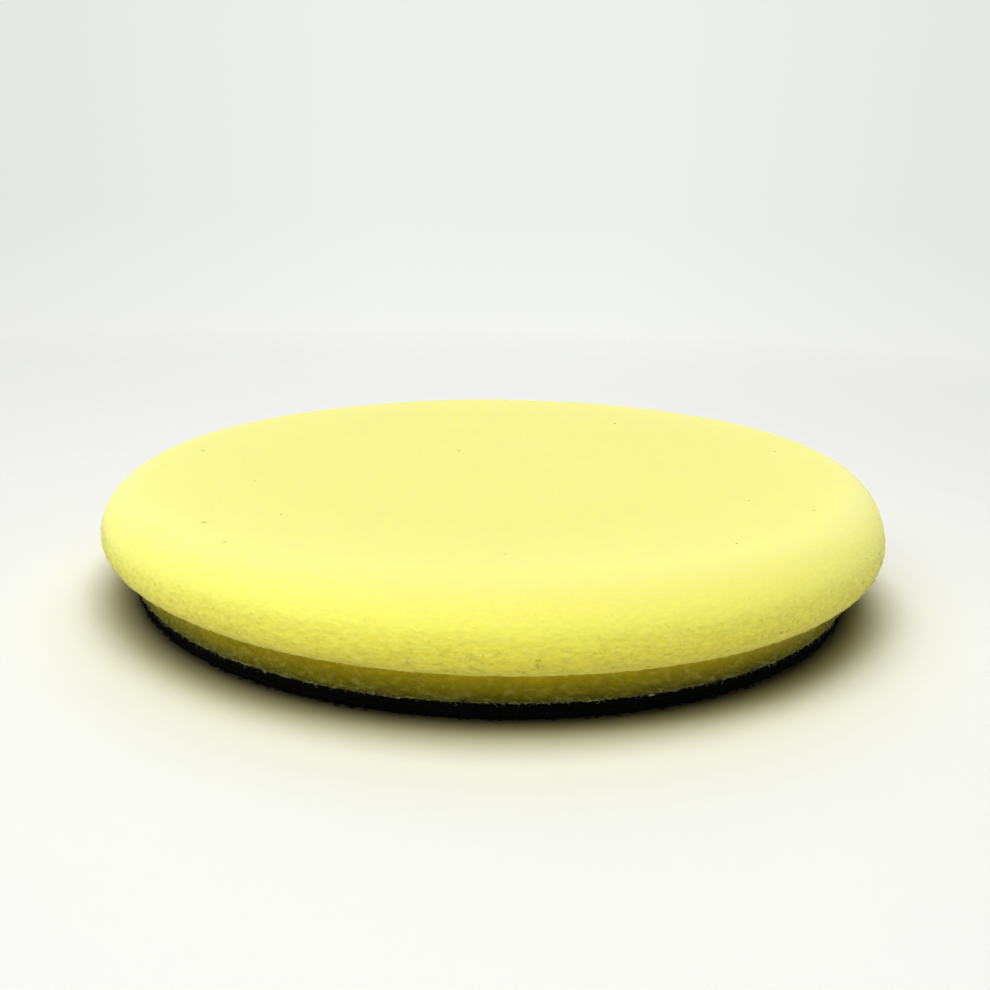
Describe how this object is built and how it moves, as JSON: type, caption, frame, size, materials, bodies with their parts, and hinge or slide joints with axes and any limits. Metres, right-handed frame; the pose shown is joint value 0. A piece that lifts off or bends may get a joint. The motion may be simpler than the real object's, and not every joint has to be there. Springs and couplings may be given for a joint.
{
  "type": "foam polishing pad",
  "caption": "Round foam polishing pad with a flat face, rounded shoulder, undercut neck and a black loop fabric backing that grips a machine polisher's plate.",
  "frame": {"origin": "centre of the loop face, which is the face that lies on the floor or grips the backing plate", "axes": "+Z runs from the loop face up through the foam to the polishing face, along the pad's axis of rotation; +X and +Y are any two square directions, because the pad is round"},
  "size_m": [0.165, 0.165, 0.0245],
  "materials": {
    "yellow_foam": "matte",
    "hot_melt": "satin",
    "black_felt": "matte",
    "black_knit": "matte",
    "black_loops": "matte"
  },
  "bodies": {
    "root": {"foam_disc": "yellow_foam", "hot_melt_film": "hot_melt", "barrier_felt": "black_felt", "ground_knit": "black_knit", "loop_pile": "black_loops"}
  },
  "joints": []
}
